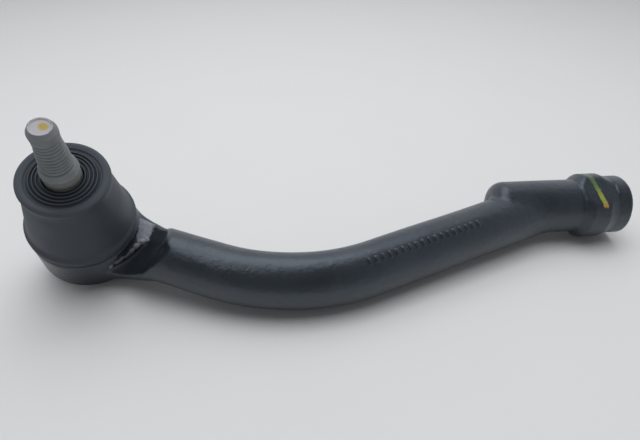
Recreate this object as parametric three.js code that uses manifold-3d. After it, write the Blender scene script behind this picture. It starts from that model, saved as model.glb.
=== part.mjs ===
// Outer tie rod end: a forged arm with a ball joint at one end and a threaded socket at the other,
// lying on a flat surface. Millimetres, +Z up, +X from the ball joint towards the threaded end.
import * as THREE from 'three';
import { mergeVertices } from 'three/addons/utils/BufferGeometryUtils.js';
import Module from 'manifold-3d';

const wasm = await Module();
wasm.setup();

// ---------------------------------------------------------------- driving dimensions
const GAP = 0.3;
const ROUND_SIDES = 32;

// The ball joint's axis leans over when the part lies down; its own frame has the closing
// plug's face near z = 0 and z along the stud.
const LEAN_ABOUT_X = THREE.MathUtils.degToRad(22.53);
const LEAN_ABOUT_Y = THREE.MathUtils.degToRad(11.93);

const socket = {
  radius: 21.2,
  edgeRound: 1.5,
  shoulderHeight: 19.4,
  spigotRadius: 17.2,
  noseHeight: 26,
  noseRadius: 14.6,
  cavityRadius: 15.2,
  mouthRadius: 11,
};

const ball = { radius: 12, height: 17.5, footHeight: 5.9 };

const plug = { radius: 15.9, recess: 0.4, thickness: 2.3, grooveRadius: 14.4, grooveHeight: 1.3 };

const stud = {
  neckRadius: 5.4,
  shoulderRadius: 6.97,
  shoulderTop: 58.6,
  shankRadius: 5.1,
  reliefRadius: 4.4,
  tipRadius: 4.62,
  height: 81.2,
  dishRadius: 2.6,
  dishDepth: 0.9,
};

const boot = {
  rimRadius: 16,
  rimHeight: 53.1,
  rimThickness: 2.3,
  rimRound: 1.2,
  grooveRadius: 12.6,
  grooveHeight: 52.2,
  waistRadius: 15.2,
  bodyFootRadius: 19.6,
  bodyFootHeight: 26.6,
  beadRadius: 21.3,
  beadHeight: 22.8,
  lipRadius: stud.shoulderRadius + GAP,
  lipHeight: 53.8,
  wall: 2,
};

const arm = {
  radius: 11.5,
  start: new THREE.Vector3(2.2, -4, 18.2),
  bend: new THREE.Vector3(94.4, -35.2, 11.7),
  end: new THREE.Vector3(205, 17.4, 13.5),
  bendTangent: 36.7,
};

const barrel = {
  origin: new THREE.Vector3(218.5, 19.24, 15.2),
  yaw: THREE.MathUtils.degToRad(3.49),
  backEnd: -34.3,
  faceEnd: 26.2,
  radius: 12.4,
  endRadius: 13.6,
  backRound: 6.2,
  collarRadius: 15,
  collarFoot: [5.4, 19.5],
  collarTop: [7.6, 16.7],
  boreRadius: 7.2,
  boreDepth: 44,
  boreChamfer: 1.3,
  acrossFlats: 26,
  flatTurn: THREE.MathUtils.degToRad(24),
};

// In the joint's frame: the web beside the socket, the room round the boot's foot, and the forged
// pocket in the neck's front flank.
const gusset = { rootHalfWidth: 14, tipHalfWidth: 8.5, length: 32, bottom: 7, top: 16 };
const bootRoom = { floor: 17.5, floorRadius: 29, top: 34, topRadius: 43 };
const pocket = { radius: 10.5, centre: new THREE.Vector3(24, -15.5, 18) };

// ---------------------------------------------------------------- finishes
const steelBlack = new THREE.MeshStandardMaterial({ color: 0x24272b, roughness: 0.45, metalness: 0.4 });
const phosphate = new THREE.MeshStandardMaterial({ color: 0x8f968e, roughness: 0.6, metalness: 0.5 });
const rubber = new THREE.MeshStandardMaterial({ color: 0x2b2d30, roughness: 0.75, metalness: 0 });
const polymer = new THREE.MeshStandardMaterial({ color: 0xe4e0d2, roughness: 0.5, metalness: 0 });
const springSteel = new THREE.MeshStandardMaterial({ color: 0x6f7478, roughness: 0.4, metalness: 0.8 });
const zinc = new THREE.MeshStandardMaterial({ color: 0xa8adb0, roughness: 0.35, metalness: 0.8 });
const sealRubber = new THREE.MeshStandardMaterial({ color: 0x1c1d1f, roughness: 0.7, metalness: 0 });

// ---------------------------------------------------------------- small helpers
// A lathed body whose outline, as [radius, height] pairs, turns about z.
function turned(outline, sides = ROUND_SIDES) {
  const points = outline.map(([radius, height]) => new THREE.Vector2(radius, height));
  return new THREE.LatheGeometry(points, sides).rotateX(Math.PI / 2);
}

// A lathed ring whose outline closes on itself.
function turnedRing(outline, sides = ROUND_SIDES) {
  return turned([...outline, outline[0]], sides);
}

// Points of an arc in the outline plane, angles in degrees from the radial direction.
function arc(radius, height, size, fromDeg, toDeg, steps) {
  return Array.from({ length: steps + 1 }, (_, i) => {
    const angle = THREE.MathUtils.degToRad(fromDeg + ((toDeg - fromDeg) * i) / steps);
    return [radius + size * Math.cos(angle), height + size * Math.sin(angle)];
  });
}

function solid(geometry) {
  const bare = geometry.clone();
  bare.deleteAttribute('normal');
  bare.deleteAttribute('uv');
  const merged = mergeVertices(bare, 1e-4);
  const mesh = new wasm.Mesh({
    numProp: 3,
    vertProperties: new Float32Array(merged.attributes.position.array),
    triVerts: new Uint32Array(merged.index.array),
  });
  mesh.merge();
  return new wasm.Manifold(mesh);
}

function geometryOf(manifold) {
  const mesh = manifold.getMesh();
  const geometry = new THREE.BufferGeometry();
  geometry.setAttribute('position', new THREE.BufferAttribute(mesh.vertProperties, 3));
  geometry.setIndex(new THREE.BufferAttribute(mesh.triVerts, 1));
  geometry.computeVertexNormals();
  return geometry;
}

function named(name, geometry, material) {
  const mesh = new THREE.Mesh(geometry, material);
  mesh.name = name;
  return mesh;
}

// ---------------------------------------------------------------- frames
const jointFrame = new THREE.Matrix4().makeRotationFromEuler(
  new THREE.Euler(LEAN_ABOUT_X, LEAN_ABOUT_Y, 0, 'XYZ'),
);
const jointAxis = new THREE.Vector3(0, 0, 1).transformDirection(jointFrame);
// The socket's bottom edge touches the surface at its lowest point.
const leanSine = Math.hypot(jointAxis.x, jointAxis.y);
const jointLift =
  (socket.radius - socket.edgeRound) * leanSine + socket.edgeRound * (1 - jointAxis.z);
jointFrame.setPosition(0, 0, jointLift);

const barrelFrame = new THREE.Matrix4()
  .makeRotationZ(barrel.yaw)
  .multiply(new THREE.Matrix4().makeRotationY(Math.PI / 2))
  .setPosition(barrel.origin);

// ---------------------------------------------------------------- forged arm
function socketBody() {
  const s = socket;
  return turned([
    [0, 0],
    ...arc(s.radius - s.edgeRound, s.edgeRound, s.edgeRound, -90, 0, 3),
    [s.radius, s.shoulderHeight - 0.6],
    [s.radius - 0.6, s.shoulderHeight],
    [s.spigotRadius, s.shoulderHeight],
    [s.spigotRadius, s.noseHeight - 1.5],
    [s.noseRadius, s.noseHeight],
    [0, s.noseHeight],
  ]);
}

function socketCavity() {
  const s = socket;
  return turned([
    [0, -1],
    [plug.radius + GAP, -1],
    [plug.radius + GAP, plug.recess + plug.thickness + GAP],
    [s.cavityRadius, plug.recess + plug.thickness + GAP],
    [s.cavityRadius, 22.5],
    [s.mouthRadius, 25],
    [s.mouthRadius, s.noseHeight + 1],
    [0, s.noseHeight + 1],
  ]);
}

// The web that spreads the arm into the socket's flank, drawn in the joint's frame.
function neckGusset() {
  const g = gusset;
  const outline = new THREE.Shape([
    new THREE.Vector2(0, -g.rootHalfWidth),
    new THREE.Vector2(g.length * 0.45, -g.rootHalfWidth),
    new THREE.Vector2(g.length, -g.tipHalfWidth),
    new THREE.Vector2(g.length, g.tipHalfWidth),
    new THREE.Vector2(g.length * 0.45, g.rootHalfWidth),
    new THREE.Vector2(0, g.rootHalfWidth),
  ]);
  const block = new THREE.ExtrudeGeometry(outline, { depth: g.top - g.bottom, bevelEnabled: false });
  const toArm = arm.bend.clone().applyMatrix4(jointFrame.clone().invert());
  return block.translate(0, 0, g.bottom).rotateZ(Math.atan2(toArm.y, toArm.x));
}

function bootClearance() {
  const r = bootRoom;
  return turned([[0, r.floor], [r.floorRadius, r.floor], [r.topRadius, r.top], [0, r.top]]);
}

function neckPocket() {
  const { x, y, z } = pocket.centre;
  return new THREE.SphereGeometry(pocket.radius, 24, 16).translate(x, y, z);
}

function armSweep() {
  const into = arm.bend.clone().sub(arm.start).normalize();
  const out = arm.end.clone().sub(arm.bend).normalize();
  const bendStart = arm.bend.clone().addScaledVector(into, -arm.bendTangent);
  const bendEnd = arm.bend.clone().addScaledVector(out, arm.bendTangent);
  const path = new THREE.CurvePath();
  path.add(new THREE.LineCurve3(arm.start, bendStart));
  path.add(new THREE.QuadraticBezierCurve3(bendStart, arm.bend, bendEnd));
  path.add(new THREE.LineCurve3(bendEnd, arm.end));
  const section = new THREE.Shape().absarc(0, 0, arm.radius, 0, 2 * Math.PI);
  return new THREE.ExtrudeGeometry(section, { steps: 36, extrudePath: path, curveSegments: 28 });
}

function barrelBody() {
  const b = barrel;
  return turned([
    [0, b.backEnd],
    ...arc(b.radius - b.backRound, b.backEnd + b.backRound, b.backRound, -90, 0, 5),
    [b.radius, b.collarFoot[0]],
    [b.collarRadius, b.collarTop[0]],
    [b.collarRadius, b.collarTop[1]],
    [b.endRadius, b.collarFoot[1]],
    [b.endRadius, b.faceEnd - 1.2],
    [b.endRadius - 1.2, b.faceEnd],
    [0, b.faceEnd],
  ]);
}

function barrelBore() {
  const b = barrel;
  const depth = b.faceEnd - b.boreDepth;
  return turned([
    [0, depth - 4],
    [b.boreRadius, depth],
    [b.boreRadius, b.faceEnd - b.boreChamfer],
    [b.boreRadius + b.boreChamfer + 1, b.faceEnd + 1],
    [0, b.faceEnd + 1],
  ]);
}

// The blocks that mill the two wrench flats, above and below the collar.
function wrenchFlatCutter(side) {
  const b = barrel;
  const length = b.faceEnd - b.collarFoot[0];
  const depth = 10;
  const block = new THREE.BoxGeometry(depth, 4 * b.radius, length + 8);
  block.translate(-side * (b.acrossFlats + depth) / 2, 0, (b.faceEnd + b.collarFoot[0]) / 2 + 4);
  return block.rotateZ(b.flatTurn);
}

function forgedArm() {
  const joint = (geometry) => solid(geometry.applyMatrix4(jointFrame));
  const end = (geometry) => solid(geometry.applyMatrix4(barrelFrame));
  const neckAndArm = joint(neckGusset())
    .add(solid(armSweep()))
    .subtract(joint(bootClearance()))
    .subtract(joint(neckPocket()));
  const threadedEnd = end(barrelBody())
    .subtract(end(wrenchFlatCutter(1)))
    .subtract(end(wrenchFlatCutter(-1)));
  const body = joint(socketBody())
    .add(neckAndArm)
    .add(threadedEnd)
    .subtract(joint(socketCavity()))
    .subtract(end(barrelBore()));
  return geometryOf(body);
}

// ---------------------------------------------------------------- ball joint pieces
function ballStud() {
  const s = stud;
  const neckAngle = THREE.MathUtils.radToDeg(Math.acos(s.neckRadius / ball.radius));
  const footAngle = THREE.MathUtils.radToDeg(Math.asin((ball.footHeight - ball.height) / ball.radius));
  return turned([
    [0, ball.footHeight],
    ...arc(0, ball.height, ball.radius, footAngle, neckAngle, 16),
    [s.neckRadius, 38],
    [s.shoulderRadius, 44],
    [s.shoulderRadius, s.shoulderTop],
    [s.shoulderRadius - 0.5, 60.3],
    [s.shoulderRadius - 1.3, 61.8],
    [s.shankRadius, 63.2],
    [s.shankRadius, 68.4],
    [s.reliefRadius, 72],
    [s.reliefRadius, 75.4],
    [s.tipRadius, 77.2],
    [s.tipRadius, 79.4],
    [3.8, s.height],
    [s.dishRadius, s.height],
    [s.dishRadius - 0.5, s.height - s.dishDepth],
    [0, s.height - s.dishDepth],
  ]);
}

function seatSurface(fromHeight, toHeight, steps) {
  const radius = ball.radius + GAP;
  const angleAt = (height) => THREE.MathUtils.radToDeg(Math.asin((height - ball.height) / radius));
  return arc(0, ball.height, radius, angleAt(fromHeight), angleAt(toHeight), steps);
}

function upperSeat() {
  const outside = socket.cavityRadius - GAP;
  return turnedRing([[outside, 18.3], [outside, 22.2], [11.5, 24.3], ...seatSurface(24, 18.3, 8)]);
}

function lowerSeat() {
  const outside = socket.cavityRadius - GAP;
  return turnedRing([[13, 5.3], [outside, 7.2], [outside, 17.9], ...seatSurface(17.9, 6.7, 12), [5.5, 5.3]]);
}

function preloadSpring() {
  return turnedRing([[13.8, 3.2], [13.8, 4], [6.2, 4.9], [6.2, 4.1]]);
}

function closingPlug() {
  const p = plug;
  const top = p.recess + p.thickness;
  const grooveFoot = p.recess + (p.thickness - p.grooveHeight) / 2;
  return turned([
    [0, p.recess],
    [p.radius, p.recess],
    [p.radius, grooveFoot],
    [p.grooveRadius, grooveFoot],
    [p.grooveRadius, grooveFoot + p.grooveHeight],
    [p.radius, grooveFoot + p.grooveHeight],
    [p.radius, top],
    [0, top],
  ]);
}

function wireRing(radius, height, wireRadius, sides = 8) {
  return turned(arc(radius, height, wireRadius, 0, 360, sides));
}

function dustBoot() {
  const b = boot;
  const rimFoot = b.rimHeight - b.rimThickness;
  return turnedRing([
    [b.rimRadius, rimFoot],
    [b.rimRadius, b.rimHeight - b.rimRound],
    [b.rimRadius - b.rimRound, b.rimHeight],
    [b.grooveRadius + 0.8, b.rimHeight],
    [b.grooveRadius, b.grooveHeight],
    [b.lipRadius + 1, b.lipHeight - 0.4],
    [b.lipRadius, b.lipHeight],
    [b.lipRadius, 45.6],
    [8.3, 45.6],
    [8.3, 49],
    [b.waistRadius - b.wall, 49],
    [b.bodyFootRadius - b.wall, 27],
    [19, 25.2],
    [19, b.beadHeight - 3],
    [20.4, b.beadHeight - 3],
    [b.beadRadius, b.beadHeight - 1],
    [b.beadRadius, b.beadHeight + 1],
    [b.bodyFootRadius, b.bodyFootHeight],
    [b.waistRadius, rimFoot - 1],
  ]);
}

function bootBaseRing() {
  return turnedRing([[17.5, 19.8], [18.7, 19.8], [18.7, 24.4], [17.5, 24.4]]);
}

function bootTopRing() {
  return turnedRing([[10.4, 47.4], [12.6, 47.4], [12.6, 48.7], [10.4, 48.7]]);
}

const jointPieces = new THREE.Group();
jointPieces.add(
  named('ball_stud', ballStud(), phosphate),
  named('upper_ball_seat', upperSeat(), polymer),
  named('lower_ball_seat', lowerSeat(), polymer),
  named('preload_spring', preloadSpring(), springSteel),
  named('closing_plug', closingPlug(), zinc),
  named('plug_seal_ring', wireRing(15.35, plug.recess + plug.thickness / 2, 0.5), sealRubber),
  named('dust_boot', dustBoot(), rubber),
  named('boot_base_ring', bootBaseRing(), springSteel),
  named('boot_top_ring', bootTopRing(), springSteel),
  named('boot_garter_ring', wireRing(9.2, 46.4, 0.55), springSteel),
);
jointPieces.applyMatrix4(jointFrame);

// ---------------------------------------------------------------- whole part
const part = new THREE.Group();
part.add(named('forged_arm', forgedArm(), steelBlack), jointPieces);

// The origin is put on the surface under the middle of the part.
part.updateMatrixWorld(true);
const box = new THREE.Box3().setFromObject(part, true);
part.position.set(-(box.min.x + box.max.x) / 2, -(box.min.y + box.max.y) / 2, -box.min.z);

export default part;
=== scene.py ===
import math
from functools import reduce

import bmesh
import bpy
import numpy as np
from mathutils import Matrix, Vector


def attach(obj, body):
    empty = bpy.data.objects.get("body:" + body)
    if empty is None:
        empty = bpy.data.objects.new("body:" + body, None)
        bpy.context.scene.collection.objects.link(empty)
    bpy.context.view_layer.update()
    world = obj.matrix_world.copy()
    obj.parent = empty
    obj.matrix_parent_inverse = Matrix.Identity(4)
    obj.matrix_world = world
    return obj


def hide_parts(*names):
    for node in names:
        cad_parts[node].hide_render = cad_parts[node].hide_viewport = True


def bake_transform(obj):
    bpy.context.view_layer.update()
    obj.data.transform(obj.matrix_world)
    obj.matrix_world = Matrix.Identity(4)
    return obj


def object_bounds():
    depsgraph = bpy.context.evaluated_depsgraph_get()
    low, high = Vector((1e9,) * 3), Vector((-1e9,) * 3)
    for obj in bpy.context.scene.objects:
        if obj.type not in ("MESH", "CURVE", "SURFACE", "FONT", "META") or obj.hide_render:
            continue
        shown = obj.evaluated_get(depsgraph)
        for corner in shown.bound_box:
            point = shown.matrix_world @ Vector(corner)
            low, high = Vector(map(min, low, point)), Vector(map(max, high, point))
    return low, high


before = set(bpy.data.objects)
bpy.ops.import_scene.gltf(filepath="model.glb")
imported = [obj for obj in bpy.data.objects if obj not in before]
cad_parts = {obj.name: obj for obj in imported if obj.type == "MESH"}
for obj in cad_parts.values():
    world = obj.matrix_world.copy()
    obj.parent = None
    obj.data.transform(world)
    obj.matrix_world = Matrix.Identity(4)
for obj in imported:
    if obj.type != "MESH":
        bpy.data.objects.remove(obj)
cad_low, cad_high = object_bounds()

# An outer tie rod end. Shapes are worked out in millimetres and stored in metres.
MM = 0.001

# ---------------------------------------------------------------- frames
# The part's own origin lies under the middle of the socket. This is its place in the CAD's frame.
PART_ORIGIN = np.array([-112.487, 2.370, -0.026])

# The joint's frame stands in the middle of the socket's bottom face, with z along the socket's axis.
LEAN_X = math.radians(22.53)
LEAN_Y = math.radians(11.93)
JOINT_LIFT = 8.577
JOINT_TURN = Matrix.Rotation(LEAN_X, 3, "X") @ Matrix.Rotation(LEAN_Y, 3, "Y")
JOINT_ORIGIN = PART_ORIGIN + np.array([0, 0, JOINT_LIFT])

# The neck's frame is the joint's, turned about z to lie along the arm.
NECK_TURN = Matrix.Rotation(math.radians(-19.5), 3, "Z")

# The barrel's frame has x along the barrel, y across the wrench flat and z out of the wrench flat.
BARREL_ORIGIN = PART_ORIGIN + np.array([218.5, 19.24, 15.2])
BARREL_YAW = math.radians(3.49)
FLAT_LEAN = math.radians(24)
BARREL_TURN = Matrix.Rotation(BARREL_YAW, 3, "Z") @ Matrix.Rotation(FLAT_LEAN, 3, "X")

# ---------------------------------------------------------------- sizes, in millimetres
# Heights on the socket and the stud, and places along the neck and the barrel, are in those frames.
SOCKET_RADIUS = 21.2
SOCKET_TOP = 19.4
SPIGOT_RADIUS = 17.2
SPIGOT_TOP = 26
# The half section of the cavity: the plug's recess, the seats' chamber and the mouth round the stud.
CAVITY = [(0, -3), (16.2, -3), (16.2, 3), (15.2, 3), (15.2, 22.5), (11, 25), (11, 30), (0, 30)]

NECK_START, NECK_END, NECK_TOP = 2, 36, 16.4
NECK_BACK, NECK_FRONT, NECK_BOTTOM = 16.5, 15, 3.2
POCKET_CORNER = (25.6, 4.4)
POCKET_FLOOR = 13
# The half section of the space that is kept free for the boot.
BOOT_ROOM = [(0, 16), (27, 16), (33.5, 21), (38, 34), (0, 34)]
# The trimmed flash: the edge of the neck's top, then a line round the socket's flank.
FLASH = np.array([[25.6, -3.6, 15.6], [21.4, -8.2, 15.4], [18.8, -11.2, 15.4], [16.2, -14.3, 15.4],
                  [13.6, -16.7, 15.2]])
FLASH_RADIUS = 0.6

ARM_RADIUS = 11.5
ARM_START = PART_ORIGIN + np.array([2.2, -4, 18.2])
ARM_BEND = PART_ORIGIN + np.array([94.4, -35.2, 11.7])
ARM_END = PART_ORIGIN + np.array([205, 17.4, 13.5])
ARM_BEND_RADIUS = 86.8
FORGING_TOP = 55
FORGING_UNEVENNESS = 0.07

# Raised bars on the arm: where they start along its second leg, their spacing, number and size.
TICK_START, TICK_PITCH, TICK_COUNT = -6, 3.15, 18
TICK_HEIGHT, TICK_RISE, TICK_SINK = 3.8, 0.9, 0.3
TICK_HALF_WIDTHS = (0.75, 1.1, 0.9)
TICK_ANGLE = math.radians(27)

BARREL_RADIUS = 12.4
BARREL_BACK = -34.3
BARREL_FACE = 26.8
BARREL_END_RADIUS = 13.6
COLLAR_RADIUS = 15
COLLAR_EDGE = 0.8
FLAT_OFFSET = 13
FLAT_RUNOUT = 20.6
THREAD_PITCH = 1.5
BORE_MINOR = 7.2
BORE_MAJOR = 8.1
BORE_DEPTH = 44
BORE_POINT = 4

STUD_FOOT = 5.9
STUD_TOP = 81.2
STUD_THREAD_START, STUD_THREAD_END = 60.5, 76.5
STUD_THREAD_DEPTH = 0.22
WHITE_PAINT_RADIUS = 3.3
YELLOW_DOT_CENTRE, YELLOW_DOT_RADIUS = (0.8, 0.4, 0), 1.1
STUD_NECK_RADIUS = 5.4
SHOULDER_RADIUS = 6.6
SHOULDER_FOOT = 55.4
BALL_RADIUS = 12
BALL_HEIGHT = 17.5

BOOT_SEAM = 36.5
SEAM_OUTSIDE, SEAM_INSIDE = 17.88, 15.4
RIB_RADII = (11.4, 10.1, 8.8)
RIB_HEIGHT = 0.7
RIB_CREST_HALF_WIDTH, RIB_FOOT_HALF_WIDTH = 0.15, 0.45

# The paint stripe over the collar: its middle and its slant along the barrel, its width and its tip.
STRIPE_MIDDLE, STRIPE_SLANT = 11.9, -0.15
STRIPE_HALF_WIDTH = 0.9
STRIPE_TIP = -8.9

CAMERA_PLACE = PART_ORIGIN + np.array([103.47, -162.94, 148.83])
CAMERA_PITCH = math.radians(38)
CAMERA_LENS, CAMERA_SENSOR = 26.48, 36
FLOOR_HALF_SIZE = 12000

# The grid on which the forging's surface is first found.
GRID_STEP = 1.1
GRID_MARGIN = 3


# ---------------------------------------------------------------- frame changes
def as_array(matrix):
    return np.array([list(row) for row in matrix])


def into(points, origin, turn):
    """Points of the CAD's frame, in a frame with that origin and turn."""
    return (points - origin) @ as_array(turn)


def out_of(points, origin, turn):
    """Points of a frame with that origin and turn, in the CAD's frame."""
    return points @ as_array(turn).T + origin


# ---------------------------------------------------------------- distance fields
def fade(value, start, end):
    """A share that goes from 0 at start to 1 at end."""
    return np.clip((value - start) / (end - start), 0, 1)


def smooth_union(a, b, width):
    """Both solids together, with a fillet about width wide where they meet."""
    overlap = np.maximum(width - np.abs(a - b), 0) / width
    return np.minimum(a, b) - overlap * overlap * width / 4


def smooth_cut(body, cutter, width):
    """The body without the cutter, with its new edges rounded."""
    return -smooth_union(-body, cutter, width)


def disc(radial, height, radius, low, high, rounding):
    """A solid of revolution: a cylinder from low to high with rounded edges."""
    across = radial - (radius - rounding)
    along = np.abs(height - (low + high) / 2) - ((high - low) / 2 - rounding)
    outside = np.hypot(np.maximum(across, 0), np.maximum(along, 0))
    return outside + np.minimum(np.maximum(across, along), 0) - rounding


def turned_polygon(radial, height, corners):
    """A solid of revolution whose half section is a polygon of (radius, height) corners."""
    distance = np.full(radial.shape, 1e9)
    inside = np.zeros(radial.shape, bool)
    for (x0, y0), (x1, y1) in zip(corners, corners[1:] + corners[:1]):
        dx, dy = x1 - x0, y1 - y0
        t = np.clip(((radial - x0) * dx + (height - y0) * dy) / (dx * dx + dy * dy), 0, 1)
        if x0 > 0 or x1 > 0:
            distance = np.minimum(distance, np.hypot(radial - x0 - t * dx, height - y0 - t * dy))
        if y0 != y1:
            crosses = (height < y0) != (height < y1)
            inside ^= crosses & (radial < x0 + (height - y0) * dx / dy)
    return np.where(inside, -distance, distance)


def segment_distance(points, start, end):
    line = end - start
    t = np.clip((points - start) @ line / (line @ line), 0, 1)
    return np.linalg.norm(points - start - t[:, None] * line, axis=1)


def arm_layout():
    """The arm's centre line: two straight legs joined by an arc, and the arc's own frame."""
    first = (ARM_BEND - ARM_START) / np.linalg.norm(ARM_BEND - ARM_START)
    second = (ARM_END - ARM_BEND) / np.linalg.norm(ARM_END - ARM_BEND)
    angle = math.acos(first @ second)
    reach = ARM_BEND_RADIUS * math.tan(angle / 2)
    inward = second - first * (first @ second)
    inward /= np.linalg.norm(inward)
    bend_start = ARM_BEND - first * reach
    return {
        "first": first,
        "second": second,
        "angle": angle,
        "bend_start": bend_start,
        "bend_end": ARM_BEND + second * reach,
        "inward": inward,
        "centre": bend_start + inward * ARM_BEND_RADIUS,
    }


ARM = arm_layout()


def arm_distance(points):
    """Distance to the arm's centre line."""
    offset = points - ARM["centre"]
    along = offset @ ARM["first"]
    inward = offset @ ARM["inward"]
    aside = offset @ np.cross(ARM["first"], ARM["inward"])
    turn = np.arctan2(along, -inward)
    arc = np.hypot(np.hypot(along, inward) - ARM_BEND_RADIUS, aside)
    arc = np.where((turn > 0) & (turn < ARM["angle"]), arc, 1e9)
    first = segment_distance(points, ARM_START, ARM["bend_start"])
    second = segment_distance(points, ARM["bend_end"], ARM_END)
    return np.minimum(arc, np.minimum(first, second))


def ripple(points, size, seed):
    """A smooth unevenness, mostly between -1 and 1, with bumps about size millimetres across."""
    random = np.random.default_rng(seed)
    total = np.zeros(len(points))
    for _ in range(6):
        direction = random.normal(size=3)
        direction *= math.pi / size / np.linalg.norm(direction)
        total += np.sin(points @ direction + random.uniform(0, 2 * math.pi))
    return total / 3


def neck_field(neck):
    """A flat web, wider at the socket, whose underside climbs with the arm."""
    along, across, height = neck.T
    back = NECK_BACK - 0.25 * (along - 13)
    front = NECK_FRONT - 0.33 * (along - 14)
    low = NECK_BOTTOM + 0.22 * np.maximum(along - 16, 0)
    rounding = 2.6
    gaps = np.stack([
        np.abs(along - (NECK_START + NECK_END) / 2) - (NECK_END - NECK_START) / 2,
        np.maximum(across - back, -across - front),
        np.maximum(height - NECK_TOP, low - height),
    ]) + rounding
    return np.linalg.norm(np.maximum(gaps, 0), axis=0) + np.minimum(gaps.max(0), 0) - rounding


def pocket_field(neck):
    """The hollow in front of the neck: two walls, square to each other, on a floor that climbs."""
    along, across, height = neck.T
    right, back = along - POCKET_CORNER[0], across - POCKET_CORNER[1]
    socket_wall = 0.44 * back - 0.9 * right
    arm_wall = 0.9 * back + 0.44 * right
    climb = np.clip(along - 23, 0, 10)
    floor_height = POCKET_FLOOR + 0.085 * climb ** 2 + 1.7 * np.maximum(along - 33, 0)
    walls = smooth_cut(socket_wall, -arm_wall, 5)
    return smooth_cut(walls, height - floor_height, 2.5)


def flash_field(points):
    """A ragged bead of metal along the flash line."""
    joint = into(points, JOINT_ORIGIN, JOINT_TURN)
    line = np.min([segment_distance(joint, a, b) for a, b in zip(FLASH, FLASH[1:])], axis=0)
    return line - FLASH_RADIUS - 0.35 * ripple(points, 1.3, 5) - 0.35 * ripple(points, 3.1, 6)


def joint_end_field(points):
    """The socket, the neck and the arm, and the cavity that goes into them."""
    joint = into(points, JOINT_ORIGIN, JOINT_TURN)
    radial = np.hypot(joint[:, 0], joint[:, 1])
    height = joint[:, 2]
    socket = disc(radial, height, SOCKET_RADIUS, 0, SOCKET_TOP, 1.6)
    socket = np.minimum(socket, disc(radial, height, SPIGOT_RADIUS, 8, SPIGOT_TOP, 1))
    neck = joint @ as_array(NECK_TURN)
    limb = smooth_union(arm_distance(points) - ARM_RADIUS, neck_field(neck), 6)
    limb = smooth_cut(limb, turned_polygon(radial, height, BOOT_ROOM), 2)
    limb = smooth_cut(limb, pocket_field(neck), 1.2 + 2 * fade(neck[:, 0], 24, 32))
    body = smooth_union(socket, limb, 3.5)
    return smooth_union(body, flash_field(points), 0.7), turned_polygon(radial, height, CAVITY)


def barrel_field(points):
    """The barrel with its collar and wrench flats, and the bore that goes into it."""
    along, across, out = into(points, BARREL_ORIGIN, BARREL_TURN).T
    radial = np.hypot(across, out)
    body = disc(radial, along, BARREL_RADIUS, BARREL_BACK, 12, 6.2)
    body = smooth_union(body, disc(radial, along, BARREL_END_RADIUS, 8, BARREL_FACE, 0.9), 1)
    crown = COLLAR_RADIUS - COLLAR_EDGE
    collar = turned_polygon(radial, along, [
        (0, 6.2), (12.6, 6.2), (crown, 8.4), (crown, 15.8), (12.6, 18.6), (0, 18.6)])
    body = smooth_union(body, collar - COLLAR_EDGE, 1.4)
    flats = np.maximum(FLAT_OFFSET - np.abs(out), along - FLAT_RUNOUT)
    body = smooth_cut(body, flats, 0.7)
    bottom = BARREL_FACE - BORE_DEPTH
    bore = turned_polygon(radial, along, [
        (0, bottom - BORE_POINT), (BORE_MAJOR, bottom), (BORE_MAJOR, BARREL_FACE - 0.8),
        (BORE_MAJOR + 3, BARREL_FACE + 2), (0, BARREL_FACE + 2)])
    return body, bore


def forging_field(points):
    """The whole forging, slightly uneven like a real one."""
    joint_end, cavity = joint_end_field(points)
    barrel, bore = barrel_field(points)
    body = smooth_union(joint_end, barrel, 1.6)
    body = smooth_cut(body, cavity, 0.6)
    body = smooth_cut(body, bore, 0.6)
    return body + FORGING_UNEVENNESS * ripple(points, 9, 3)


# ---------------------------------------------------------------- surfaces from fields
def surface_net(field, low, high, step):
    """Vertices and quads of the field's zero surface, found on a regular grid.

    Each grid edge that the surface crosses gives a quad, which joins the four cells round that edge.
    A cell's vertex is the mean of the crossings on its edges."""
    counts = np.ceil((high - low) / step).astype(int) + 1
    axes = [low[i] + step * np.arange(counts[i]) for i in range(3)]
    points = np.stack(np.meshgrid(*axes, indexing="ij"), -1).reshape(-1, 3)
    values = field(points).reshape(counts)
    cells = counts - 1
    total = np.zeros((3, cells.prod()))
    number = np.zeros(cells.prod())
    quads = []
    unit = np.eye(3, dtype=int)
    for axis in range(3):
        near, far = np.delete(values, -1, axis), np.delete(values, 0, axis)
        edges = np.argwhere((near < 0) != (far < 0))
        a, b = near[tuple(edges.T)], far[tuple(edges.T)]
        crossing = edges.astype(float)
        crossing[:, axis] += a / (a - b)
        u, v = unit[(axis + 1) % 3], unit[(axis + 2) % 3]
        ring = []
        for offset in (0 * u, u, u + v, v):
            cell = np.ravel_multi_index((edges - offset).T, cells)
            ring.append(cell)
            number += np.bincount(cell, minlength=len(number))
            for i in range(3):
                total[i] += np.bincount(cell, crossing[:, i], len(number))
        ring = np.stack(ring, 1)
        quads.append(np.where((a < 0)[:, None], ring, ring[:, ::-1]))
    used = number > 0
    index = np.cumsum(used) - 1
    vertices = low + step * (total[:, used] / number[used]).T
    return vertices, index[np.concatenate(quads)]


def settled(points, field, rounds=3):
    """The points moved along the field's slope onto its zero surface, in a few short steps."""
    nudge, least_steepness, longest_step = 0.05, 0.3, 0.5
    for _ in range(rounds):
        value = field(points)
        slope = np.stack([
            (field(points + nudge * axis) - field(points - nudge * axis)) / (2 * nudge)
            for axis in np.eye(3)], 1)
        steepness = np.maximum((slope ** 2).sum(1), least_steepness)
        points = points - slope * np.clip(value / steepness, -longest_step, longest_step)[:, None]
    return points


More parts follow.
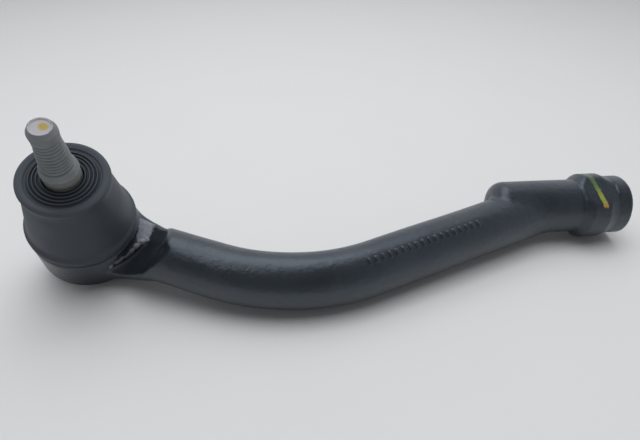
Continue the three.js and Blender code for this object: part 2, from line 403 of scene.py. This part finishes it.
# ---------------------------------------------------------------- meshes
def mesh_object(name, vertices, faces, finish):
    """A smooth-shaded object from vertices in millimetres of the CAD's frame."""
    mesh = bpy.data.meshes.new(name)
    mesh.from_pydata((vertices * MM).tolist(), [], faces.tolist())
    tidy = bmesh.new()
    tidy.from_mesh(mesh)
    bmesh.ops.remove_doubles(tidy, verts=tidy.verts, dist=1e-6)
    bmesh.ops.recalc_face_normals(tidy, faces=tidy.faces)
    tidy.to_mesh(mesh)
    tidy.free()
    mesh.shade_smooth()
    mesh.materials.append(finish)
    made = bpy.data.objects.new(name, mesh)
    bpy.context.scene.collection.objects.link(made)
    return made


def refined(thing):
    """The object with its mesh subdivided once."""
    modifier = thing.modifiers.new("refine", "SUBSURF")
    modifier.levels = 1
    shown = thing.evaluated_get(bpy.context.evaluated_depsgraph_get())
    mesh = bpy.data.meshes.new_from_object(shown)
    thing.modifiers.clear()
    thing.data = mesh
    return thing


def vertex_array(thing):
    """The object's vertices in millimetres."""
    flat = np.empty(len(thing.data.vertices) * 3, np.float32)
    thing.data.vertices.foreach_get("co", flat)
    return flat.reshape(-1, 3).astype(float) / MM


def tagged(thing, name, values):
    """Stores one number per vertex for the materials."""
    stored = thing.data.attributes.new(name, "FLOAT", "POINT")
    stored.data.foreach_set("value", values.astype(np.float32))


def filleted(corners, steps=5):
    """A polyline through (x, y, fillet radius) corners, with its corners rounded.

    A fillet takes up less than half of each side that it joins."""
    longest_share = 0.48
    points = []
    for i, (x, y, radius) in enumerate(corners):
        corner = np.array([x, y])
        if radius == 0 or i in (0, len(corners) - 1):
            points.append(corner)
            continue
        back = np.array(corners[i - 1][:2]) - corner
        ahead = np.array(corners[i + 1][:2]) - corner
        back_length, ahead_length = np.linalg.norm(back), np.linalg.norm(ahead)
        half = math.acos(np.clip(back @ ahead / back_length / ahead_length, -1, 1)) / 2
        reach = min(radius / math.tan(half), back_length * longest_share, ahead_length * longest_share)
        start, end = corner + back / back_length * reach, corner + ahead / ahead_length * reach
        for t in np.linspace(0, 1, steps + 1):
            points.append((1 - t) ** 2 * start + 2 * t * (1 - t) * corner + t * t * end)
    return np.array(points)


def spaced(points, spacing):
    """The polyline with extra points, so that none is further than spacing from the next."""
    out = [points[0]]
    for start, end in zip(points, points[1:]):
        count = max(1, math.ceil(np.linalg.norm(end - start) / spacing))
        out.extend(start + (end - start) * t for t in np.linspace(0, 1, count + 1)[1:])
    return np.array(out)


def lathed(profile, sides, relief=None):
    """Vertices and quads of a (radius, height) profile turned about z.

    relief(angle, height) is added to the radius."""
    angles = np.linspace(0, 2 * math.pi, sides, endpoint=False)
    radius, turn = np.meshgrid(profile[:, 0], angles, indexing="ij")
    height = np.repeat(profile[:, 1:2], sides, 1)
    if relief:
        radius = radius + relief(turn, height)
    vertices = np.stack([radius * np.cos(turn), radius * np.sin(turn), height], -1).reshape(-1, 3)
    rows = len(profile)
    i, j = np.meshgrid(np.arange(rows - 1), np.arange(sides), indexing="ij")
    row, next_row, beside = i * sides, (i + 1) * sides, (j + 1) % sides
    quads = np.stack([row + j, row + beside, next_row + beside, next_row + j], -1)
    return vertices, quads.reshape(-1, 4)


def thread_relief(depth, low, high, runout):
    """A helical thread between two heights for lathed(), with wide flat crests and a runout at each end."""
    def relief(turn, height):
        phase = 2 * math.pi * height / THREAD_PITCH - turn
        share = fade(height, low, low + runout) * fade(height, high, high - runout)
        return depth * share * np.clip(1.8 * np.cos(phase) + 0.9, -1, 1)
    return relief


def in_joint(name, shape, finish):
    """Places a shape turned about its own z on the socket's axis."""
    vertices, faces = shape
    return mesh_object(name, out_of(vertices, JOINT_ORIGIN, JOINT_TURN), faces, finish)


def in_barrel(name, shape, finish):
    """Places a shape turned about its own z along the barrel's axis."""
    vertices, faces = shape
    points = out_of(vertices[:, [2, 0, 1]], BARREL_ORIGIN, BARREL_TURN)
    return mesh_object(name, points, faces, finish)


# ---------------------------------------------------------------- materials
def feed(tree, target, inputs):
    """Gives a node its inputs: another node's output is linked, and a plain value is set."""
    for key, value in inputs.items():
        if isinstance(value, bpy.types.NodeSocket):
            tree.links.new(value, target.inputs[key])
        else:
            target.inputs[key].default_value = value


def node(tree, kind, inputs=None, **settings):
    """A new shader node with its settings and inputs."""
    made = tree.nodes.new("ShaderNode" + kind)
    for key, value in settings.items():
        setattr(made, key, value)
    feed(tree, made, inputs or {})
    return made


def maths(tree, operation, a, b=0.0):
    return node(tree, "Math", {0: a, 1: b}, operation=operation).outputs[0]


def added(tree, *terms):
    return reduce(lambda a, b: maths(tree, "ADD", a, b), terms)


def product(tree, *factors):
    return reduce(lambda a, b: maths(tree, "MULTIPLY", a, b), factors)


def centred(tree, value):
    """A value between 0 and 1, moved to lie round 0."""
    return maths(tree, "SUBTRACT", value, 0.5)


def attribute(tree, name):
    return node(tree, "Attribute", attribute_name=name).outputs["Fac"]


def place(tree, origin=None, turn=None):
    """The surface point in the CAD's frame, or one with that origin and turn, in millimetres."""
    point = node(tree, "TexCoord").outputs["Object"]
    if origin is not None:
        inputs = {"Vector": point, "Location": origin * MM, "Rotation": turn.to_euler()}
        point = node(tree, "Mapping", inputs, vector_type="TEXTURE").outputs[0]
    return node(tree, "VectorMath", {0: point, "Scale": 1 / MM}, operation="SCALE").outputs[0]


def noise(tree, point, size, detail=3.0, rough=0.5):
    """Fine noise between 0 and 1 with features about size millimetres across."""
    inputs = {"Vector": point, "Scale": 1 / size, "Detail": detail, "Roughness": rough}
    return node(tree, "TexNoise", inputs).outputs["Fac"]


def ramp(tree, value, low, high, start=0.0, end=1.0):
    """A smooth change from start, where the value is low, to end, where it is high."""
    inputs = {"Value": value, "From Min": low, "From Max": high, "To Min": start, "To Max": end}
    return node(tree, "MapRange", inputs, interpolation_type="SMOOTHSTEP").outputs["Result"]


def mixed(tree, factor, a, b):
    """Colour a where the factor is 0, and colour b where it is 1."""
    return node(tree, "Mix", {0: factor, 6: a, 7: b}, data_type="RGBA").outputs[2]


def bumped(tree, height, distance, strength, normal=None):
    """A bump from a height between 0 and 1, distance millimetres high."""
    inputs = {"Height": height, "Distance": distance * MM, "Strength": strength}
    if normal is not None:
        inputs["Normal"] = normal
    return node(tree, "Bump", inputs).outputs[0]


def grey(level, tint=(1.0, 1.0, 1.0)):
    """A colour of that brightness, with a slight tint."""
    return tuple(level * t for t in tint) + (1.0,)


def material(name, build):
    """A material whose shader gets what build(tree) returns."""
    made = bpy.data.materials.new(name)
    made.use_nodes = True
    tree = made.node_tree
    feed(tree, tree.nodes["Principled BSDF"], build(tree))
    return made


def black_paint(tree):
    """Satin black paint over a shot-blasted forging, rough where the flash was trimmed, with a painted
    highlight there.
    """
    point = place(tree)
    grain = noise(tree, point, 0.9, 4.0, 0.6)
    lumps = noise(tree, point, 3.2, 2.0)
    cloud = noise(tree, point, 16, 3.0)
    chips = noise(tree, point, 1.5, 3.0, 0.7)
    trimmed = attribute(tree, "trimmed")
    # painted highlight: light grey in noisy patches on the neck's top face and on the flash stands for
    # glints there
    painted_glint = ramp(tree, added(tree, trimmed, product(tree, chips, 1.2)), 1.1, 1.25)
    dark, light = grey(0.014, (0.8, 1, 1.3)), grey(0.02, (0.82, 1, 1.25))
    base = mixed(tree, ramp(tree, cloud, 0.35, 0.65), dark, light)
    base = mixed(tree, painted_glint, base, grey(0.16, (0.98, 0.98, 1.1)))
    mark, mark_colour = paint_mark(tree)
    base = mixed(tree, mark, base, mark_colour)
    normal = bumped(tree, lumps, 0.38, 0.6)
    normal = bumped(tree, grain, 0.16, 0.6, normal)
    normal = bumped(tree, product(tree, chips, trimmed), 0.5, 0.6, normal)
    return {
        "Base Color": base,
        "Roughness": ramp(tree, grain, 0.2, 0.8, 0.27, 0.38),
        "Normal": normal,
        "Specular IOR Level": 0.88,
        "Specular Tint": grey(1, (0.88, 1, 1.15)),
    }


def paint_mark(tree):
    """A brushed paint stripe over the collar: where it is, and its colour, green going to orange."""
    point = place(tree, BARREL_ORIGIN, BARREL_TURN)
    along, across, out = node(tree, "SeparateXYZ", {0: point}).outputs
    smear = product(tree, centred(tree, noise(tree, point, 1.6, 3.0)), 1.4)
    middle = added(tree, product(tree, across, STRIPE_SLANT), STRIPE_MIDDLE)
    aside = maths(tree, "ABSOLUTE", maths(tree, "SUBTRACT", along, middle))
    edge = ramp(tree, added(tree, aside, smear), STRIPE_HALF_WIDTH + 0.3, STRIPE_HALF_WIDTH)
    tip = ramp(tree, added(tree, across, smear), STRIPE_TIP, STRIPE_TIP + 0.7)
    front = ramp(tree, out, -4, -3)
    patchy = ramp(tree, noise(tree, point, 0.8, 3.0, 0.6), 0.25, 0.45, 0.55, 1)
    faint = ramp(tree, across, 12, -3, 0.4, 1)
    green, olive, orange = (0.1, 0.17, 0.03, 1), (0.25, 0.27, 0.03, 1), (0.42, 0.2, 0.04, 1)
    colour = mixed(tree, ramp(tree, across, 3, -3), green, olive)
    colour = mixed(tree, ramp(tree, across, -6, -8.5), colour, orange)
    return product(tree, edge, tip, front, patchy, faint), colour


def moulded_rubber(tree):
    """Matt black rubber, with painted shade in the grooves between the boot's ribs."""
    point = place(tree)
    grain = noise(tree, point, 0.5, 3.0, 0.6)
    cloud = noise(tree, point, 9, 3.0)
    base = mixed(tree, cloud, grey(0.052, (0.86, 1, 1.18)), grey(0.067, (0.87, 1, 1.16)))
    # painted shade: darker grey in the grooves between the ribs
    base = mixed(tree, attribute(tree, "groove"), base, grey(0.024, (0.85, 1, 1.2)))
    return {
        "Base Color": base,
        "Roughness": ramp(tree, cloud, 0.3, 0.7, 0.52, 0.62),
        "Normal": bumped(tree, grain, 0.04, 0.5),
        "Specular IOR Level": 0.35,
        "Specular Tint": grey(1, (0.9, 1, 1.16)),
    }


def phosphate(tree):
    """Grey-green phosphated steel, with white paint and a yellow dot on the stud's end, a painted highlight
    on the shoulder and painted shade below it and in the thread.
    """
    point = place(tree, JOINT_ORIGIN, JOINT_TURN)
    x, y, z = node(tree, "SeparateXYZ", {0: point}).outputs
    grain = noise(tree, point, 0.5, 4.0, 0.65)
    cloud = noise(tree, point, 5, 3.0)
    smear = centred(tree, noise(tree, point, 1.4, 2.0))
    flat = node(tree, "CombineXYZ", {0: x, 1: y}).outputs[0]
    radius = node(tree, "VectorMath", {0: flat}, operation="LENGTH").outputs["Value"]
    to_dot = {0: flat, 1: YELLOW_DOT_CENTRE}
    dot = node(tree, "VectorMath", to_dot, operation="DISTANCE").outputs["Value"]
    on_top = ramp(tree, z, STUD_TOP - 0.75, STUD_TOP - 0.6)
    inside = ramp(tree, added(tree, radius, smear), WHITE_PAINT_RADIUS + 0.3, WHITE_PAINT_RADIUS)
    white = product(tree, on_top, inside)
    yellow = ramp(tree, added(tree, dot, smear), YELLOW_DOT_RADIUS + 0.9, YELLOW_DOT_RADIUS)
    base = mixed(tree, cloud, grey(0.18, (0.93, 1, 1.02)), grey(0.25, (0.94, 1, 1.01)))
    # painted highlight: lighter grey from z 61 down over the shoulder's upward, lit face
    base = mixed(tree, ramp(tree, z, 61, 57), base, grey(0.31, (0.99, 1, 0.97)))
    # painted shade: the stud's side below its shoulder, which faces away from the light, is darker grey
    painted_shade_below_shoulder = ramp(tree, z, SHOULDER_FOOT + 0.7, SHOULDER_FOOT + 0.2)
    base = mixed(tree, painted_shade_below_shoulder, base, grey(0.12, (0.94, 1, 0.93)))
    # painted shade: the thread's roots are darker grey
    base = mixed(tree, attribute(tree, "groove"), base, grey(0.09, (0.93, 1, 1)))
    base = mixed(tree, white, base, grey(0.39, (1, 0.95, 1.03)))
    base = mixed(tree, product(tree, white, yellow), base, (0.36, 0.28, 0.06, 1))
    return {
        "Base Color": base,
        "Metallic": ramp(tree, white, 0, 1, 0.3, 0),
        "Roughness": ramp(tree, grain, 0.2, 0.8, 0.45, 0.6),
        "Normal": bumped(tree, grain, 0.05, 0.6),
    }


def plain_metal(level, roughness):
    """A builder of bare, spring or plated steel, by its brightness and its least roughness."""
    def build(tree):
        point = place(tree)
        grain = noise(tree, point, 0.6, 3.0)
        return {
            "Base Color": mixed(tree, grain, grey(level), grey(level * 1.4)),
            "Metallic": 0.9,
            "Roughness": ramp(tree, grain, 0.2, 0.8, roughness, roughness + 0.15),
            "Normal": bumped(tree, grain, 0.03, 0.5),
        }
    return build


def polymer(tree):
    """The ivory plastic of the seats."""
    point = place(tree)
    grain = noise(tree, point, 0.8, 3.0)
    return {
        "Base Color": mixed(tree, grain, grey(0.62, (1, 0.97, 0.86)), grey(0.7, (1, 0.97, 0.88))),
        "Roughness": ramp(tree, grain, 0.2, 0.8, 0.4, 0.55),
        "Normal": bumped(tree, grain, 0.02, 0.4),
    }


def pale_floor(tree):
    """Plain matt grey, barely uneven."""
    point = place(tree)
    cloud = noise(tree, point, 60, 2.0)
    return {
        "Base Color": mixed(tree, cloud, grey(0.67), grey(0.69)),
        "Roughness": 0.75,
        "Normal": bumped(tree, noise(tree, point, 1.5, 2.0), 0.02, 0.2),
    }


PAINT = material("black_paint", black_paint)
RUBBER = material("boot_rubber", moulded_rubber)
PHOSPHATE = material("phosphated_steel", phosphate)
BARE_STEEL = material("machined_steel", plain_metal(0.35, 0.3))
SPRING = material("spring_steel", plain_metal(0.22, 0.35))
ZINC = material("zinc_plate", plain_metal(0.5, 0.3))
POLYMER = material("seat_polymer", polymer)
FLOOR = material("pale_floor", pale_floor)


# ---------------------------------------------------------------- the pieces
def forging():
    """The arm, socket, neck and barrel as one surface, settled again after it is subdivided."""
    low = np.array(cad_low) / MM - GRID_MARGIN
    high = np.array(cad_high) / MM + GRID_MARGIN
    high[2] = FORGING_TOP
    vertices, faces = surface_net(forging_field, low, high, GRID_STEP)
    made = refined(mesh_object("forging", settled(vertices, forging_field), faces, PAINT))
    fine = settled(vertex_array(made), forging_field, 2)
    made.data.vertices.foreach_set("co", (fine * MM).astype(np.float32).ravel())
    made.data.update()
    made.data.shade_smooth()
    # the share marks the rough trim and where its painted highlight goes
    tagged(made, "trimmed", trim_and_glint_share(fine))
    return made


def trim_and_glint_share(points):
    """Where the forging was trimmed, which gets rough bumps and a painted highlight: up to 1 on the neck's
    top face and the flash, 0 elsewhere.
    """
    joint = into(points, JOINT_ORIGIN, JOINT_TURN)
    along, across, height = (joint @ as_array(NECK_TURN)).T
    ridge = 0.75 * fade(flash_field(points), 1.2, 0.2)
    lengthwise = fade(np.hypot(along, across), SOCKET_RADIUS, SOCKET_RADIUS + 1) * fade(along, 27.5, 24.5)
    crosswise = fade(across, 1, 4) * fade(across, 13.6, 12.6)
    on_top = fade(height, 14.8, 15.8) * (height < 18)
    return np.maximum(ridge, on_top * lengthwise * crosswise)


def forging_ticks():
    """Short raised bars forged on the arm, each a low round-topped pad sunk into its surface."""
    leg = ARM["second"]
    up = np.array([0, 0, 1]) - leg * leg[2]
    up /= np.linalg.norm(up)
    towards = np.cross(leg, up)
    rows, columns = 9, 17
    u, v = np.meshgrid(np.linspace(-1, 1, rows), np.linspace(-1, 1, columns), indexing="ij")
    dome = np.maximum(1 - u ** 2, 0) ** 0.5 * np.maximum(1 - v ** 4, 0) ** 0.7
    radius = ARM_RADIUS + TICK_RISE * dome - TICK_SINK
    angle = TICK_ANGLE + v * TICK_HEIGHT / 2 / ARM_RADIUS
    outward = np.cos(angle)[..., None] * up + np.sin(angle)[..., None] * towards
    a, b = np.meshgrid(np.arange(rows - 1), np.arange(columns - 1), indexing="ij")
    corner = a * columns + b
    quads = np.stack([corner, corner + 1, corner + columns + 1, corner + columns], -1).reshape(-1, 4)
    vertices, faces = [], []
    for i in range(TICK_COUNT):
        along = TICK_START + TICK_PITCH * i + TICK_HALF_WIDTHS[i % len(TICK_HALF_WIDTHS)] * u
        grid = ARM["bend_end"] + along[..., None] * leg + radius[..., None] * outward
        faces.append(quads + i * rows * columns)
        vertices.append(grid.reshape(-1, 3))
    return mesh_object("forging_ticks", np.concatenate(vertices), np.concatenate(faces), PAINT)


def barrel_thread():
    """The bore's cut thread, with its entry and its drilled end."""
    top = BARREL_FACE - 0.9
    bottom = BARREL_FACE - BORE_DEPTH
    middle = (BORE_MINOR + BORE_MAJOR) / 2
    depth = (BORE_MAJOR - BORE_MINOR) / 2
    profile = np.array([[BORE_MAJOR + 0.4, top + 0.5], [middle, top], [middle, bottom],
                        [0, bottom - BORE_POINT]])
    relief = thread_relief(depth, bottom - 1, top + 0.4, 0.8)
    return in_barrel("barrel_thread", lathed(spaced(profile, 0.2), sides=72, relief=relief), BARE_STEEL)


def turned_stud():
    """The stud: ball, neck, shoulder, thread, and a tip with a few worn rings and a shallow dish."""
    low_angle = math.asin((STUD_FOOT - BALL_HEIGHT) / BALL_RADIUS)
    angles = np.linspace(low_angle, math.acos(STUD_NECK_RADIUS / BALL_RADIUS), 28)
    ball = np.stack([BALL_RADIUS * np.cos(angles), BALL_HEIGHT + BALL_RADIUS * np.sin(angles)], 1)
    stem = filleted([
        (STUD_NECK_RADIUS, ball[-1][1], 0), (STUD_NECK_RADIUS, 38, 8), (SHOULDER_RADIUS, 44, 3),
        (SHOULDER_RADIUS, SHOULDER_FOOT, 0.2), (6.3, 55.8, 0.2), (6.45, 56.6, 0.5), (6.7, 58.8, 0.9),
        (6.25, 60.7, 1.5), (5.35, 62.4, 2), (5.0, 68, 6), (4.35, 73, 4), (4.35, 75.6, 1),
        (4.65, 76.9, 0.3), (4.5, 77.25, 0.1), (4.72, 77.6, 0.1), (4.55, 77.95, 0.1),
        (4.75, 78.3, 0.1), (4.6, 78.65, 0.1), (4.72, 79, 0.1), (4.62, 79.5, 0.3),
        (3.75, STUD_TOP, 0.3), (3.3, STUD_TOP, 0.2), (2.9, STUD_TOP - 0.35, 0.4), (0, STUD_TOP - 0.45, 0)])
    profile = np.concatenate([[[0, STUD_FOOT]], ball, spaced(stem, 0.22)[1:]])
    relief = thread_relief(STUD_THREAD_DEPTH, STUD_THREAD_START, STUD_THREAD_END, 1.5)
    made = in_joint("turned_stud", lathed(profile, sides=120, relief=relief), PHOSPHATE)
    x, y, z = into(vertex_array(made), JOINT_ORIGIN, JOINT_TURN).T
    # the thread roots are tagged for the painted shade in the material
    tagged(made, "groove", np.clip(-relief(np.arctan2(y, x), z) / STUD_THREAD_DEPTH, 0, 1))
    return made


def boot_foot():
    """The boot's bead and the lower half of its wall, open at the seam, where the top half goes on."""
    corners = [
        (SEAM_OUTSIDE, BOOT_SEAM, 0), (19.85, 26.6, 0.8), (20.2, 25.5, 0.8), (21.35, 23.8, 1.4),
        (21.35, 21.3, 1.2), (20.6, 19.75, 0.6), (19, 19.8, 0.2), (19, 25.4, 0.5), (17.6, 27, 1),
        (SEAM_INSIDE, BOOT_SEAM, 0)]
    return in_joint("boot_foot", lathed(spaced(filleted(corners), 0.6), sides=160), RUBBER)


def rib_crest(radius):
    """The height of the sealing ribs' crests, which rise towards the stud."""
    return 53.9 - 0.17 * (radius - 7.5)


def boot_top():
    """The upper half of the boot's wall, its rim, and the sealing ribs round the stud."""
    wall = [
        (SEAM_OUTSIDE, BOOT_SEAM, 0), (15.75, 47.6, 6), (15.7, 49.9, 2), (16.1, 51.8, 0.8),
        (15.85, 52.95, 0.5), (14.8, 53.2, 0.25), (13.3, 52.9, 0.5), (12.8, 52.3, 0.3)]
    ribs = []
    crest_half, foot_half = RIB_CREST_HALF_WIDTH, RIB_FOOT_HALF_WIDTH
    for radius in RIB_RADII:
        crest = rib_crest(radius)
        foot = crest - RIB_HEIGHT
        ribs += [(radius + foot_half, foot, 0.1), (radius + crest_half, crest, 0.1),
                 (radius - crest_half, crest, 0.1), (radius - foot_half, foot, 0.1)]
    inner = [
        (7.9, 53.0, 0.2), (7.5, 53.9, 0.2), (7.1, 53.7, 0.2), (7.05, 46, 0), (8.3, 45.6, 0),
        (8.4, 49, 0), (13, 49, 0.5), (SEAM_INSIDE, BOOT_SEAM, 0)]
    profile = spaced(filleted(wall + ribs + inner, 4), 0.35)
    made = in_joint("boot_top", lathed(profile, sides=160), RUBBER)
    x, y, height = into(vertex_array(made), JOINT_ORIGIN, JOINT_TURN).T
    radius = np.hypot(x, y)
    # how deep a point lies below the rib crests, for the painted shade in the grooves
    depth = fade(rib_crest(radius) - height, 0.1, 0.45)
    among_ribs = (radius < 12.6) & (height > 51)
    tagged(made, "groove", depth * among_ribs)
    return made


def pressed_plug():
    """The plate that closes the socket's bottom: a raised ring round a dish, and a groove for its seal."""
    corners = [
        (0, 1.3, 0), (7, 1.3, 1), (8.6, 0.45, 1), (14.9, 0.45, 0.5), (15.8, 0.85, 0.1), (14.4, 0.92, 0.1),
        (14.4, 2.18, 0.1), (15.85, 2.2, 0), (15.85, 2.65, 0), (0, 2.65, 0)]
    return in_joint("pressed_plug", lathed(spaced(filleted(corners), 0.8), sides=120), ZINC)


# ---------------------------------------------------------------- stage
def floor():
    size = FLOOR_HALF_SIZE
    corners = np.array([[-size, -size, 0], [size, -size, 0], [size, size, 0], [-size, size, 0]], float)
    made = mesh_object("floor", corners, np.array([[0, 1, 2, 3]]), FLOOR)


def area_light(name, location, target, size, power):
    """A rectangular light that faces the target, in metres and watts."""
    data = bpy.data.lights.new(name, "AREA")
    data.shape = "RECTANGLE"
    data.size, data.size_y = size
    data.energy = power
    made = bpy.data.objects.new(name, data)
    bpy.context.scene.collection.objects.link(made)
    away = Vector(location) - Vector(target)
    made.location = location
    made.rotation_euler = away.to_track_quat("Z", "Y").to_euler()
    return made


def lights():
    """A wide panel above and behind, and a soft key that leaves no highlight."""
    area_light("panel", location=(-0.22, 0.24, 0.72), target=(-0.1, 0.1, 0), size=(1.0, 0.54), power=2.35)
    key = area_light("key", location=(0.08, 0.02, 0.75), target=(0, 0, 0), size=(0.55, 0.55), power=2.9)
    key.visible_glossy = False


def room():
    """Soft light from all round, dim in front, bright behind and a little brighter at both sides."""
    world = bpy.data.worlds.new("studio")
    world.use_nodes = True
    tree = world.node_tree
    direction = node(tree, "TexCoord").outputs["Generated"]
    x, y, z = node(tree, "SeparateXYZ", {0: direction}).outputs
    everywhere = ramp(tree, z, 0.05, 0.5, 0.3, 0.15)
    behind = ramp(tree, y, 0.05, 0.7, 0, 0.5)
    right = ramp(tree, x, 0.35, 0.8, 0, 0.22)
    left = ramp(tree, x, -0.5, -0.9, 0, 0.12)
    strength = added(tree, everywhere, behind, right, left)
    feed(tree, tree.nodes["Background"], {"Color": (0.96, 1.0, 1.04, 1), "Strength": strength})
    bpy.context.scene.world = world


def camera():
    data = bpy.data.cameras.new("camera")
    data.lens = CAMERA_LENS
    data.sensor_width = CAMERA_SENSOR
    made = bpy.data.objects.new("camera", data)
    made.location = CAMERA_PLACE * MM
    made.rotation_euler = (math.pi / 2 - CAMERA_PITCH, 0, 0)
    bpy.context.scene.collection.objects.link(made)
    bpy.context.scene.camera = made
    bpy.context.scene.view_settings.view_transform = "Standard"


# ---------------------------------------------------------------- assembly
def placed(thing, body, slot, *nodes):
    """Puts a rigid piece on its body, in the place of CAD nodes."""
    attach(thing, body)
    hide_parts(*nodes)


def blended(thing):
    """Fixes a half of the boot in place and hides the CAD's boot."""
    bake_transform(thing)
    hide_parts("dust_boot")


camera()
lights()
room()
floor()
placed(forging(), "arm", "forging", "forged_arm")
placed(forging_ticks(), "arm", "forging", "forged_arm")
placed(barrel_thread(), "arm", "forging", "forged_arm")
placed(pressed_plug(), "arm", "plug_steel", "closing_plug")
placed(turned_stud(), "stud", "stud", "ball_stud")
blended(boot_foot())
blended(boot_top())

for name, finish in {
    "upper_ball_seat": POLYMER,
    "lower_ball_seat": POLYMER,
    "preload_spring": SPRING,
    "plug_seal_ring": RUBBER,
    "boot_base_ring": SPRING,
    "boot_top_ring": SPRING,
    "boot_garter_ring": SPRING,
}.items():
    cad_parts[name].data.materials.clear()
    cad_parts[name].data.materials.append(finish)
